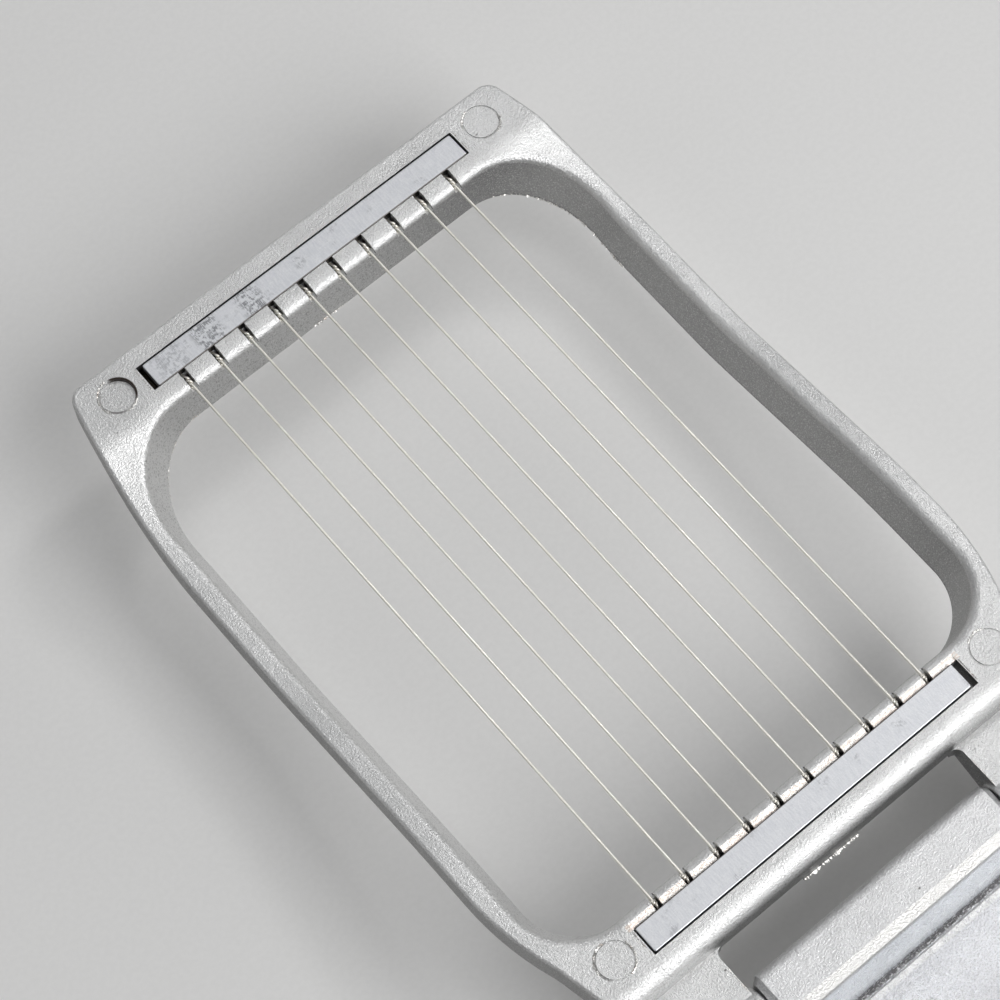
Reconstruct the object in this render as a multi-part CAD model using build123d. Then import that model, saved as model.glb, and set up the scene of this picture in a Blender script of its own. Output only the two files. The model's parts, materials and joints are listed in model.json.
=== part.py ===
from build123d import *
import os
from math import acos, asin, atan2, cos, hypot, radians, sin, sqrt, tan

os.makedirs("parts", exist_ok=True)

# Egg slicer, open flat: the hinge runs along X, the cutting frame reaches towards +Y
# and the base towards -Y. All sizes are in millimetres. Y is measured from the hinge
# axis while a piece is being made; the export shifts every piece by HINGE_Y, which puts
# the origin under the middle of the open slicer.

# ---- driving dimensions -------------------------------------------------------------
WIRE_COUNT = 10
WIRE_PITCH = 5.0
WIRE_RADIUS = 0.2
WIRE_DEPTH = 0.95        # wire centre below the frame's pad face

HINGE_HEIGHT = 14.0      # hinge axis above the table
PAD_RISE = 6.9           # frame's pad face above the hinge axis, frame open
FRAME_REACH = 119.5      # hinge axis to the frame's far edge
FRAME_HALF_WIDTH = 39.8
FRAME_END_HALF_WIDTH = 35.3
FRAME_THICKNESS = 6.8
PLAN_CORNER_RADIUS = 2.4
TAPER_START = 88.0       # where the outline starts to narrow towards the far end
TAPER_RADIUS = 132.0
WAIST_START = 33.5       # where it starts to narrow towards the hinge
WAIST_END = 19.0
WAIST_RADIUS = 42.0
NECK_START = 10.0        # from here to the hinge the outline is straight
WAIST_BLEND_RADIUS = 14.0
NECK_BLEND_RADIUS = 7.0
SHOULDER_RADIUS = 2.7    # hinge bar's upper edge that faces the hinge
UNDER_RADIUS = 2.0       # the outer lower edge
OVER_RADIUS = 0.5        # the outer upper edge
WINDOW_OVER_RADIUS = 1.2
WINDOW_UNDER_RADIUS = 0.8

ARCH_HEIGHT = 4.6        # the side rails' bow away from the pad face
ARCH_START = 41.0
ARCH_CREST_START = 72.0
ARCH_CREST_END = 90.0
ARCH_END = 110.2
ARCH_FOOT_RADIUS = 80.0
ARCH_CREST_RADIUS = 40.0
ARCH_END_RADIUS = 5.5

WINDOW_NEAR = 18.8       # window's edges on the pad face
WINDOW_FAR = 109.6
WINDOW_HALF_WIDTH = 37.0
WINDOW_NEAR_RADIUS = 9.0
WINDOW_FAR_RADIUS = 13.0
RAIL_FLARE = 2.4         # how much the rail's inner face leans, over its thickness
BAR_FLARE = 1.1
WINDOW_MARGIN = 1.2      # how far the window's cutter runs past the casting

POCKET_LENGTH = 53.8
POCKET_WIDTH = 4.15
POCKET_DEPTH = 4.7
POCKET_LEDGE = 1.2       # depth of the ledges that carry the clamp bar's ends
POCKET_RELIEF = 0.9      # length and depth of the deeper gap past each end of a bar
POCKET_RELIEF_DEPTH = 3.0
FRONT_POCKET_INNER = 112.4
REAR_POCKET_INNER = 16.8

CLAMP_BAR_LENGTH = 52.6
CLAMP_BAR_WIDTH = 3.85
CLAMP_BAR_PROUD = 0.1
CLAMP_BAR_GAP = 0.05     # between a bar and its pocket's inner side
CLAMP_BAR_CORNER_RADIUS = 0.25
CLAMP_BAR_EDGE_RADIUS = 0.15
FRONT_BAR_SHIFT = 0.25   # the bars sit slightly off centre in their pockets
REAR_BAR_SHIFT = -0.35

ROD_RADIUS = 1.0
ROD_DEPTH = 3.2          # rod centre below the pad face
ROD_LENGTH = 50.2
ROD_CHAMFER = 0.15
ROD_END_GAP = 0.2
WIRE_GAP = 0.02          # between wire and rod, and between rod and pocket

NOTCH_WIDTH = 1.1
NOTCH_FLOOR = 1.2
FRONT_LIP = 1.8          # from the pocket's edge to where a wire bends down into it
REAR_LIP = 1.5
NOTCH_END_DEPTH = 3.6    # a notch's floor where it meets the pocket
LIP_BEND_RADIUS = 1.5    # the wires' bend over a lip
HOOK_ANGLES = (95, 190)  # half and all of a wire's turn round its rod
BEVEL_REACH = 0.95       # the rear teeth slope down to the pocket
BEVEL_DROP = 0.36

HINGE_BAR_EDGE = 9.0     # hinge bar's edge that faces the hinge
LUG_INNER = 20.4
LUG_TOP = 3.9            # lug's top face below the pad face
BARREL_RADIUS = 3.6
BARREL_STEP = 0.7        # how far the barrel stands in from the lug's inner side
LUG_ROOT = 12.0          # where the lug's lower side runs into the hinge bar
LUG_CORNER_RADIUS = 1.2  # web in the corner between a lug and the hinge bar
GATE_WIDTH = 9.2         # stub of the casting's gate under the hinge bar's edge
GATE_CENTRE = -0.8
GATE_SIZE = 1.2
EJECTOR_X = 31.1         # ejector pin marks, two by each bar
EJECTOR_FRONT_Y = 115.0
EJECTOR_REAR_Y = 15.3
EJECTOR_RADIUS = 2.58
EJECTOR_GROOVE = 0.2
EJECTOR_DEPTH = 0.12
EJECTOR_SUNK_DEPTH = 0.5
PIN_RADIUS = 1.5
PIN_CHAMFER = 0.3
PIN_CLEARANCE = 0.05
PIN_INNER_END = 11.0
PIN_OUTER_END = 34.9

BASE_FRONT = 118.5       # hinge axis to the base's front edge
BASE_REAR = 3.54
FLOOR_HEIGHT = 6.7
PLATE_THICKNESS = 2.4
SKIRT_THICKNESS = 2.4
FLOOR_EDGE_RADIUS = 1.0
RIB_HEIGHT = 3.6
RIB_THICKNESS = 1.8
RIB_X = 20.0
RIB_Y = (20.0, 63.0, 105.0)

BLOCK_HALF_WIDTH = 19.4
BLOCK_TOP = 17.9
BLOCK_TOP_EDGE = 2.6     # the block's front face: a chamfer, then a draft down to the floor
BLOCK_CHAMFER_EDGE = 3.95
BLOCK_CHAMFER_DROP = 1.0
BLOCK_FRONT = 5.7
BLOCK_REAR_RADIUS = 1.5
BLOCK_END_CHAMFER = 0.8
STOP_INNER = 24.5        # the stops under the lugs, which hold the frame level
STOP_OUTER = 33.0
STOP_REACH = 6.2
STOP_GAP = 0.3
STOP_DROP = 2.05         # from the hinge axis down to the lug's arm over the stop's end
STOP_SLOPE_DROP = 0.95

CRADLE_CENTRE = 63.0     # hinge axis to the middle of the egg dish
CRADLE_WIDTH = 64.5
CRADLE_LENGTH = 57.0
CRADLE_CORNER = 24.0
CRADLE_TOP = 26.0
CRADLE_DRAFT = 4.0
CRADLE_EDGE_RADIUS = 2.0
DISH_EDGE_RADIUS = 0.8
SLOT_WIDTH = 1.3
FIN_EDGE_RADIUS = 0.25
EGG_HALF_LENGTH = 28.0
EGG_RADIUS = 22.0
DISH_BOTTOM = 9.6

HINGE_Y = (BASE_FRONT - FRAME_REACH) / 2
PAD_Z = HINGE_HEIGHT + PAD_RISE
WIRE_X = [WIRE_PITCH * (i - (WIRE_COUNT - 1) / 2) for i in range(WIRE_COUNT)]


# ---- helpers ------------------------------------------------------------------------
def side_prism(outline, x_from, x_to):
    """A closed outline in the YZ plane, given as (y, z) edges, made solid along X."""
    face = make_face(Plane.YZ * outline)
    return Pos(x_from, 0, 0) * extrude(face, amount=x_to - x_from, dir=(1, 0, 0))


def outline_points(points):
    """A closed polygon through (y, z) points."""
    return Polyline(*points, close=True)


def save(node, part):
    """Writes one named piece in the shared frame."""
    part = Pos(0, HINGE_Y, 0) * part
    part.label = node
    export_step(part, f"parts/{node}.step")


# ---- cutting frame ------------------------------------------------------------------
def arch_line(drop, y_from, y_to):
    """The rail's side curve as edges in (y, z), moved down by drop from the pad face."""
    top = PAD_Z - drop
    rise_angle = atan2(ARCH_HEIGHT, ARCH_CREST_START - ARCH_START)
    foot = ARCH_FOOT_RADIUS * tan(rise_angle / 2)
    crest = ARCH_CREST_RADIUS * tan(rise_angle / 2)
    slope = (cos(rise_angle), -sin(rise_angle))
    ramp_radius = ((ARCH_END - ARCH_CREST_END) ** 2 + ARCH_HEIGHT**2) / (2 * ARCH_HEIGHT)
    ramp_mid = (ARCH_END - ARCH_CREST_END) / 2
    ramp_sag = ramp_radius - sqrt(ramp_radius**2 - ramp_mid**2)
    p1 = (ARCH_START - foot, top)
    p2 = (ARCH_START + foot * slope[0], top + foot * slope[1])
    p3 = (ARCH_CREST_START - crest * slope[0], top - ARCH_HEIGHT - crest * slope[1])
    p4 = (ARCH_CREST_START + crest, top - ARCH_HEIGHT)
    p5 = (ARCH_CREST_END, top - ARCH_HEIGHT)
    p6 = (ARCH_CREST_END + ramp_mid, top - ARCH_HEIGHT + ramp_sag)
    p7 = (ARCH_END, top)
    return [
        Line((y_from, top), p1),
        TangentArc(p1, p2, tangent=(1, 0)),
        Line(p2, p3),
        TangentArc(p3, p4, tangent=slope),
        Line(p4, p5),
        ThreePointArc(p5, p6, p7),
        Line(p7, (y_to, top)),
    ]


def edge_x(y, start, radius):
    """Half width at y on an arc that leaves the frame's straight side at start."""
    return FRAME_HALF_WIDTH - radius + sqrt(radius**2 - (y - start) ** 2)


def frame_plan():
    """The casting's outline seen from above, hinge lugs included."""
    far_x = edge_x(FRAME_REACH, TAPER_START, TAPER_RADIUS)
    far_mid = (TAPER_START + FRAME_REACH) / 2
    waist_mid = (WAIST_START + WAIST_END) / 2
    far_side = ThreePointArc(
        (far_x, FRAME_REACH),
        (edge_x(far_mid, TAPER_START, TAPER_RADIUS), far_mid),
        (FRAME_HALF_WIDTH, TAPER_START),
    )
    waist = ThreePointArc(
        (FRAME_HALF_WIDTH, WAIST_START),
        (edge_x(waist_mid, WAIST_START, WAIST_RADIUS), waist_mid),
        (edge_x(WAIST_END, WAIST_START, WAIST_RADIUS), WAIST_END),
    )
    half = [
        Line((0, FRAME_REACH), (far_x, FRAME_REACH)),
        far_side,
        Line((FRAME_HALF_WIDTH, TAPER_START), (FRAME_HALF_WIDTH, WAIST_START)),
        waist,
        Line(waist @ 1, (FRAME_END_HALF_WIDTH, NECK_START)),
        Line((FRAME_END_HALF_WIDTH, NECK_START), (FRAME_END_HALF_WIDTH, -BARREL_RADIUS)),
        Line((FRAME_END_HALF_WIDTH, -BARREL_RADIUS), (0, -BARREL_RADIUS)),
    ]
    half_face = make_face(Curve() + half + [Line((0, -BARREL_RADIUS), (0, FRAME_REACH))])
    return half_face + mirror(half_face, about=Plane.YZ)


def upright_edges(solid, y):
    """A prism's upright edges at a distance y from the hinge axis, on both sides of it."""
    return [e for e in solid.edges().filter_by(Axis.Z) if abs(abs(e.center().Y) - y) < 0.5]


def round_plan_corners(solid, reach):
    """Rounds the upright edges of a prism that has the frame's plan."""
    solid = fillet(upright_edges(solid, reach), PLAN_CORNER_RADIUS)
    solid = fillet(upright_edges(solid, WAIST_END), WAIST_BLEND_RADIUS)
    return fillet(upright_edges(solid, NECK_START), NECK_BLEND_RADIUS)


def window_section(depth, half_width, y_near, y_far, near_radius, far_radius):
    """One level of the window's flared opening, as a face at that depth below the pad."""
    face = make_face(
        Polyline(
            (-half_width, y_near), (half_width, y_near), (half_width, y_far), (-half_width, y_far),
            close=True,
        )
    )
    near = face.vertices().group_by(Axis.Y)[0]
    face = fillet(near, near_radius)
    far = face.vertices().group_by(Axis.Y)[-1]
    face = fillet(far, far_radius)
    return Pos(0, 0, PAD_Z - depth) * face


def window_end(depths, width_at, near_at, far_at, y_from, y_to):
    """A lofted end of the window, kept between two Y planes."""
    sections = [
        window_section(d, width_at(d), near_at(d), far_at(d), WINDOW_NEAR_RADIUS, WINDOW_FAR_RADIUS)
        for d in depths
    ]
    solid = loft(sections, ruled=True)
    keep = Pos(0, (y_from + y_to) / 2, PAD_Z) * Box(100, y_to - y_from, 60)
    return solid & keep


def window_cutter():
    """The frame's window: flared walls that follow the arch of the side rails."""
    rail_lean = RAIL_FLARE / FRAME_THICKNESS
    bar_lean = BAR_FLARE / FRAME_THICKNESS
    margin = WINDOW_MARGIN
    arch = arch_line(0, 0, FRAME_REACH)[1:5]
    arch_from = (arch[0] @ 0).X
    near = window_end(
        (-margin, FRAME_THICKNESS + margin),
        lambda d: WINDOW_HALF_WIDTH - rail_lean * d,
        lambda d: WINDOW_NEAR + bar_lean * d,
        lambda d: ARCH_CREST_START,
        0, arch_from,
    )
    far = window_end(
        (-margin, FRAME_THICKNESS + ARCH_HEIGHT + margin),
        lambda d: WINDOW_HALF_WIDTH + rail_lean * (ARCH_HEIGHT - d),
        lambda d: arch_from,
        lambda d: WINDOW_FAR - bar_lean * d,
        ARCH_CREST_END, FRAME_REACH,
    )
    top_width = WINDOW_HALF_WIDTH + rail_lean * margin
    low = FRAME_THICKNESS + margin
    low_width = WINDOW_HALF_WIDTH - rail_lean * low
    path = Plane.YZ * (Curve() + arch)
    section = Plane(origin=(0, arch_from, PAD_Z), x_dir=(1, 0, 0), z_dir=(0, 1, 0)) * make_face(
        Polyline((-top_width, -margin), (top_width, -margin), (low_width, low), (-low_width, low),
                 close=True)
    )
    rails = sweep(section, path=path)
    return near + rails + far


def shared_edges(faces, others):
    """The edges that two groups of faces have in common."""
    other_edges = [e for face in others for e in face.edges()]
    return [e for face in faces for e in face.edges() if e in other_edges]


def rim_edges(solid, side):
    """Edges between a solid's walls and its upper (side 1) or lower (side -1) faces."""
    lean = {face: face.normal_at(face.center()).Z * side for face in solid.faces()}
    flats = [face for face, up in lean.items() if up > 0.8]
    walls = [face for face, up in lean.items() if abs(up) < 0.5]
    return shared_edges(flats, walls)


def frame_ring():
    """Front bar, arched side rails and hinge bar in one, before pockets and lugs."""
    edges = arch_line(0, HINGE_BAR_EDGE, FRAME_REACH)
    edges += arch_line(FRAME_THICKNESS, HINGE_BAR_EDGE, FRAME_REACH)
    edges += [
        Line((y, PAD_Z), (y, PAD_Z - FRAME_THICKNESS)) for y in (HINGE_BAR_EDGE, FRAME_REACH)
    ]
    side = side_prism(Curve() + edges, -2 * FRAME_HALF_WIDTH, 2 * FRAME_HALF_WIDTH)
    ring = extrude(frame_plan(), amount=PAD_Z + FRAME_THICKNESS) & side
    creases = ring.edges().filter_by(Axis.X)
    ring = fillet([e for e in creases if abs(e.center().Y - ARCH_END) < 0.1], ARCH_END_RADIUS)
    ring = round_plan_corners(ring, FRAME_REACH)
    hinge_edges = ring.edges().filter_by(Axis.X).group_by(Axis.Y)[0]
    ring = fillet(hinge_edges.sort_by(Axis.Z)[-1], SHOULDER_RADIUS)
    off_hinge_side = lambda e: e.center().Y > HINGE_BAR_EDGE + 0.01
    ring = fillet([e for e in rim_edges(ring, -1) if off_hinge_side(e)], UNDER_RADIUS)
    ring = fillet([e for e in rim_edges(ring, 1) if off_hinge_side(e)], OVER_RADIUS)
    ring -= window_cutter()
    in_window = lambda e: WINDOW_NEAR - 1 < e.center().Y < WINDOW_FAR + 1
    ring = fillet([e for e in rim_edges(ring, 1) if in_window(e)], WINDOW_OVER_RADIUS)
    return fillet([e for e in rim_edges(ring, -1) if in_window(e)], WINDOW_UNDER_RADIUS)


def both_sides(part):
    """The part and its mirror image across the middle plane."""
    return part + mirror(part, about=Plane.YZ)


def lug():
    """The right hinge lug: an arm from the hinge bar that ends in a barrel round the pin."""
    top = PAD_Z - LUG_TOP
    root_z = PAD_Z - FRAME_THICKNESS
    root_rise = root_z - HINGE_HEIGHT
    reach = hypot(LUG_ROOT, root_rise)
    lower = atan2(root_rise, LUG_ROOT) - acos(BARREL_RADIUS / reach)
    barrel_y = BARREL_RADIUS * cos(lower)
    barrel_z = HINGE_HEIGHT + BARREL_RADIUS * sin(lower)
    overlap_y = HINGE_BAR_EDGE + UNDER_RADIUS
    overlap_z = root_z + 1.0
    arm = side_prism(
        outline_points(
            [(0, top), (overlap_y, top), (overlap_y, overlap_z), (LUG_ROOT, overlap_z),
             (LUG_ROOT, root_z), (barrel_y, barrel_z), (0, HINGE_HEIGHT)]
        ),
        LUG_INNER, FRAME_END_HALF_WIDTH,
    )
    outer_face = arm.faces().filter_by(Axis.X).sort_by(Axis.X)[-1]
    long_edges = outer_face.edges().filter_by(lambda e: e.length > HINGE_BAR_EDGE - 1)
    arm = fillet(long_edges, OVER_RADIUS)
    barrel_inner = LUG_INNER - BARREL_STEP
    barrel_length = FRAME_END_HALF_WIDTH - barrel_inner
    barrel_x = (FRAME_END_HALF_WIDTH + barrel_inner) / 2
    barrel = Pos(barrel_x, 0, HINGE_HEIGHT) * Rot(0, 90, 0) * Cylinder(BARREL_RADIUS, barrel_length)
    barrel = fillet(barrel.edges().filter_by(GeomType.CIRCLE), OVER_RADIUS)
    return arm + barrel + corner_web()


def corner_web():
    """The concave round in the corner between the right lug and the hinge bar."""
    height = FRAME_THICKNESS - LUG_TOP - 0.5
    size = LUG_CORNER_RADIUS
    web = Box(2 * size, 2 * size, height) - Pos(-size, -size) * Cylinder(size, height)
    corner_z = PAD_Z - LUG_TOP - height / 2
    return Pos(LUG_INNER, HINGE_BAR_EDGE, corner_z) * web


def hinge_edge_round():
    """What is cut away to round the hinge bar's lower edge between the lugs."""
    length = 2 * LUG_INNER
    corner = Box(length, 2 * UNDER_RADIUS, 2 * UNDER_RADIUS)
    axis = Pos(0, UNDER_RADIUS, UNDER_RADIUS) * Rot(0, 90, 0)
    corner -= axis * Cylinder(UNDER_RADIUS, length)
    return Pos(0, HINGE_BAR_EDGE, PAD_Z - FRAME_THICKNESS) * corner


def gate_stub():
    """The ground-off stub of the casting's gate, in the round under the hinge bar."""
    stub = Box(GATE_WIDTH, GATE_SIZE, GATE_SIZE)
    stub_y = HINGE_BAR_EDGE + GATE_SIZE / 2
    return Pos(GATE_CENTRE, stub_y, PAD_Z - FRAME_THICKNESS + GATE_SIZE) * stub


def pocket(inner_y, outward):
    """The cavity for a clamp bar and its rod; outward is +1 or -1 along Y from the window."""
    above = 1.0

    def room(length, depth):
        return Pos(0, 0, (above - depth) / 2) * Box(length, POCKET_WIDTH, depth + above)

    ends = room(POCKET_LENGTH, POCKET_RELIEF_DEPTH)
    ends -= room(POCKET_LENGTH - 2 * POCKET_RELIEF, 2 * POCKET_DEPTH)
    cavity = room(ROD_LENGTH + 2 * ROD_END_GAP, POCKET_DEPTH) + room(POCKET_LENGTH, POCKET_LEDGE) + ends
    return Pos(0, inner_y + outward * POCKET_WIDTH / 2, PAD_Z) * cavity


def tooth_bevel():
    """The slope that the rear teeth have towards their pocket."""
    run_out = BEVEL_REACH * 1.2
    outline = outline_points(
        [(REAR_POCKET_INNER - 0.1, PAD_Z - BEVEL_DROP), (REAR_POCKET_INNER, PAD_Z - BEVEL_DROP),
         (REAR_POCKET_INNER + run_out, PAD_Z + BEVEL_DROP * 0.2), (REAR_POCKET_INNER - 0.1, PAD_Z + 1)]
    )
    return side_prism(outline, -POCKET_LENGTH / 2, POCKET_LENGTH / 2)


def notches(window_y, inner_y, outward, lip_reach):
    """The slots that lead the wires from the window into a pocket."""
    start = window_y - outward * 3
    lip = inner_y - outward * (lip_reach + 0.1)
    lip_z = PAD_Z - NOTCH_FLOOR
    end = inner_y + outward * 0.3
    end_z = PAD_Z - NOTCH_END_DEPTH
    outline = outline_points(
        [(start, PAD_Z + 1), (end, PAD_Z + 1), (end, end_z), (lip, lip_z), (start, lip_z)]
    )
    notch = side_prism(outline, -NOTCH_WIDTH / 2, NOTCH_WIDTH / 2)
    return Compound([Pos(x, 0, 0) * notch for x in WIRE_X])


def ejector_ring(x, y):
    """A faint round mark left in the casting by an ejector pin."""
    ring = Cylinder(EJECTOR_RADIUS, 2 * EJECTOR_DEPTH)
    ring -= Cylinder(EJECTOR_RADIUS - EJECTOR_GROOVE, 2 * EJECTOR_DEPTH)
    return Pos(x, y, PAD_Z) * ring


def deep_ejector_mark(x, y):
    """The one ejector pin that stood proud in the mould has left a sunk disc."""
    return Pos(x, y, PAD_Z) * Cylinder(EJECTOR_RADIUS - EJECTOR_GROOVE, 2 * EJECTOR_SUNK_DEPTH)


def cutting_frame():
    """The whole moving casting."""
    frame = frame_ring() - hinge_edge_round()
    frame += both_sides(lug())
    frame += gate_stub()
    pin_hole = Cylinder(PIN_RADIUS + PIN_CLEARANCE, 4 * FRAME_HALF_WIDTH)
    frame -= Pos(0, 0, HINGE_HEIGHT) * Rot(0, 90, 0) * pin_hole
    frame -= pocket(FRONT_POCKET_INNER, 1)
    frame -= pocket(REAR_POCKET_INNER, -1)
    frame -= tooth_bevel()
    frame -= notches(WINDOW_FAR, FRONT_POCKET_INNER, 1, FRONT_LIP)
    frame -= notches(WINDOW_NEAR, REAR_POCKET_INNER, -1, REAR_LIP)
    frame -= deep_ejector_mark(-EJECTOR_X, EJECTOR_FRONT_Y)
    frame -= ejector_ring(EJECTOR_X, EJECTOR_FRONT_Y)
    frame -= ejector_ring(-EJECTOR_X, EJECTOR_REAR_Y)
    return frame - ejector_ring(EJECTOR_X, EJECTOR_REAR_Y)


# ---- wires and what holds them ------------------------------------------------------
def wire_end(outward, lip_y, rod_y):
    """Points of a wire's end in (y, z): bend over the lip, then the turn round the rod."""
    wrap_radius = ROD_RADIUS + WIRE_RADIUS + WIRE_GAP
    run_y = abs(rod_y - lip_y)
    run_z = ROD_DEPTH - WIRE_DEPTH
    distance = hypot(run_y, run_z)
    dive = atan2(run_z, run_y) - asin(wrap_radius / distance)
    length = sqrt(distance**2 - wrap_radius**2)
    touch_y = lip_y + outward * length * cos(dive)
    touch_z = PAD_Z - WIRE_DEPTH - length * sin(dive)
    setback = LIP_BEND_RADIUS * tan(dive / 2)
    bend_in = (lip_y - outward * setback, PAD_Z - WIRE_DEPTH)
    bend_out = (lip_y + outward * setback * cos(dive), PAD_Z - WIRE_DEPTH - setback * sin(dive))
    turns = [radians(90) - dive - radians(a) for a in HOOK_ANGLES]
    wrap = [
        (rod_y + outward * wrap_radius * cos(a), PAD_Z - ROD_DEPTH + wrap_radius * sin(a))
        for a in turns
    ]
    return bend_in, bend_out, (touch_y, touch_z), wrap


def wire():
    """One cutting wire with its ends led over the lips and hooked round the rods."""
    rod_inset = ROD_RADIUS + WIRE_GAP
    front = wire_end(1, FRONT_POCKET_INNER - FRONT_LIP, FRONT_POCKET_INNER + rod_inset)
    rear = wire_end(-1, REAR_POCKET_INNER + REAR_LIP, REAR_POCKET_INNER - rod_inset)
    front_in, front_out, front_touch, front_wrap = front
    rear_in, rear_out, rear_touch, rear_wrap = rear
    path = [
        ThreePointArc(rear_wrap[1], rear_wrap[0], rear_touch),
        Line(rear_touch, rear_out),
        TangentArc(rear_in, rear_out, tangent=(-1, 0)),
        Line(rear_in, front_in),
        TangentArc(front_in, front_out, tangent=(1, 0)),
        Line(front_out, front_touch),
        ThreePointArc(front_touch, front_wrap[0], front_wrap[1]),
    ]
    route = Plane.YZ * Wire([*(Curve() + path).edges()])
    start = Plane(origin=route @ 0, z_dir=route % 0)
    return sweep(start * Circle(WIRE_RADIUS), path=route)


def clamp_bar(inner_y, outward, shift):
    """The flat bar that closes a pocket over the rod and the wire ends."""
    thickness = POCKET_LEDGE + CLAMP_BAR_PROUD
    bar = Box(CLAMP_BAR_LENGTH, CLAMP_BAR_WIDTH, thickness)
    bar = fillet(bar.edges().filter_by(Axis.Z), CLAMP_BAR_CORNER_RADIUS)
    bar = fillet(bar.faces().sort_by(Axis.Z)[-1].edges(), CLAMP_BAR_EDGE_RADIUS)
    bar_y = inner_y + outward * (CLAMP_BAR_WIDTH / 2 + CLAMP_BAR_GAP)
    return Pos(shift, bar_y, PAD_Z + CLAMP_BAR_PROUD - thickness / 2) * bar


def anchor_rod(inner_y, outward):
    """The steel rod that the wire ends are hooked round."""
    rod = Rot(0, 90, 0) * Cylinder(ROD_RADIUS, ROD_LENGTH)
    rod = chamfer(rod.edges().filter_by(GeomType.CIRCLE), ROD_CHAMFER)
    return Pos(0, inner_y + outward * (ROD_RADIUS + WIRE_GAP), PAD_Z - ROD_DEPTH) * rod


def hinge_pin(side):
    """A steel pin, pressed into the hinge block and turning in a lug."""
    length = PIN_OUTER_END - PIN_INNER_END
    pin = Rot(0, 90, 0) * Cylinder(PIN_RADIUS, length)
    pin = chamfer(pin.edges().filter_by(GeomType.CIRCLE), PIN_CHAMFER)
    return Pos(side * (PIN_OUTER_END + PIN_INNER_END) / 2, 0, HINGE_HEIGHT) * pin


# ---- base ---------------------------------------------------------------------------
def base_plan():
    """The base's outline: the frame's own plan, turned to face the other way."""
    plan = mirror(frame_plan(), about=Plane.XZ)
    keep = Pos(0, (BASE_REAR - BASE_FRONT) / 2) * Rectangle(100, BASE_REAR + BASE_FRONT)
    return plan & keep


def hinge_block():
    """The block that stands between the lugs and carries the pins."""
    foot_z = FLOOR_HEIGHT - 1.0
    chamfer_z = BLOCK_TOP - BLOCK_CHAMFER_DROP
    outline = outline_points(
        [(BASE_REAR, foot_z), (BASE_REAR, BLOCK_TOP), (-BLOCK_TOP_EDGE, BLOCK_TOP),
         (-BLOCK_CHAMFER_EDGE, chamfer_z), (-BLOCK_FRONT, FLOOR_HEIGHT), (-BLOCK_FRONT, foot_z)]
    )
    block = side_prism(outline, -BLOCK_HALF_WIDTH, BLOCK_HALF_WIDTH)
    rear_top = block.edges().filter_by(Axis.X).sort_by(lambda e: e.center().Y + e.center().Z)[-1]
    block = fillet(rear_top, BLOCK_REAR_RADIUS)
    ends = block.faces().filter_by(Axis.X)
    end_edges = [e for face in ends for e in face.edges() if e.center().Z > FLOOR_HEIGHT + 1]
    return chamfer(end_edges, BLOCK_END_CHAMFER)


def stop():
    """The right stop, behind the lug's barrel; the lug's arm comes to rest over it."""
    inner_y, shelf_y, low_z = -2.0, 3.2, 9.0
    slope_top = HINGE_HEIGHT - STOP_DROP - STOP_GAP
    outline = outline_points(
        [(inner_y, 0), (STOP_REACH, 0), (STOP_REACH, slope_top),
         (shelf_y, slope_top - STOP_SLOPE_DROP), (inner_y, low_z)]
    )
    ear = side_prism(outline, STOP_INNER, STOP_OUTER)
    room = Cylinder(BARREL_RADIUS + STOP_GAP, 3 * STOP_OUTER)
    return ear - Pos(0, 0, HINGE_HEIGHT) * Rot(0, 90, 0) * room


def egg(half_length, radius):
    """An egg's room: half an ellipse turned about the X axis."""
    arc = EllipticalCenterArc((0, 0), half_length, radius, start_angle=0, arc_size=180)
    face = make_face(Curve() + [arc, Line((-half_length, 0), (half_length, 0))])
    return revolve(face, axis=Axis.X)


def cradle():
    """The slotted block with the egg-shaped dish."""
    plan = RectangleRounded(CRADLE_WIDTH, CRADLE_LENGTH, CRADLE_CORNER)
    height = CRADLE_TOP - FLOOR_HEIGHT
    block = Pos(0, 0, FLOOR_HEIGHT) * extrude(plan, amount=height, taper=CRADLE_DRAFT)
    block = fillet(block.faces().sort_by(Axis.Z)[-1].edges(), CRADLE_EDGE_RADIUS)
    block -= Pos(0, 0, DISH_BOTTOM + EGG_RADIUS) * egg(EGG_HALF_LENGTH, EGG_RADIUS)
    rim = block.edges().filter_by(lambda e: abs(e.center().Z - CRADLE_TOP) < 0.01)
    rim = rim.filter_by(lambda e: e.bounding_box().size.X < 2 * EGG_HALF_LENGTH)
    block = fillet(rim, DISH_EDGE_RADIUS)
    slot = Box(SLOT_WIDTH, 2 * CRADLE_LENGTH, 2 * height)
    for x in WIRE_X:
        block -= Pos(x, 0, FLOOR_HEIGHT + height) * slot
    return Pos(0, -CRADLE_CENTRE, 0) * block


def slot_edges(body):
    """The edges that the slots leave on the fins' tops; the two end pieces stay sharp."""
    sides = [x + side * SLOT_WIDTH / 2 for x in WIRE_X for side in (-1, 1)][1:-1]
    flat = [e for e in body.edges() if e.bounding_box().size.X < 0.001]
    upper = [e for e in flat if e.bounding_box().min.Z > FLOOR_HEIGHT + 0.01]
    return [e for e in upper if any(abs(e.center().X - x) < 0.001 for x in sides)]


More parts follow.
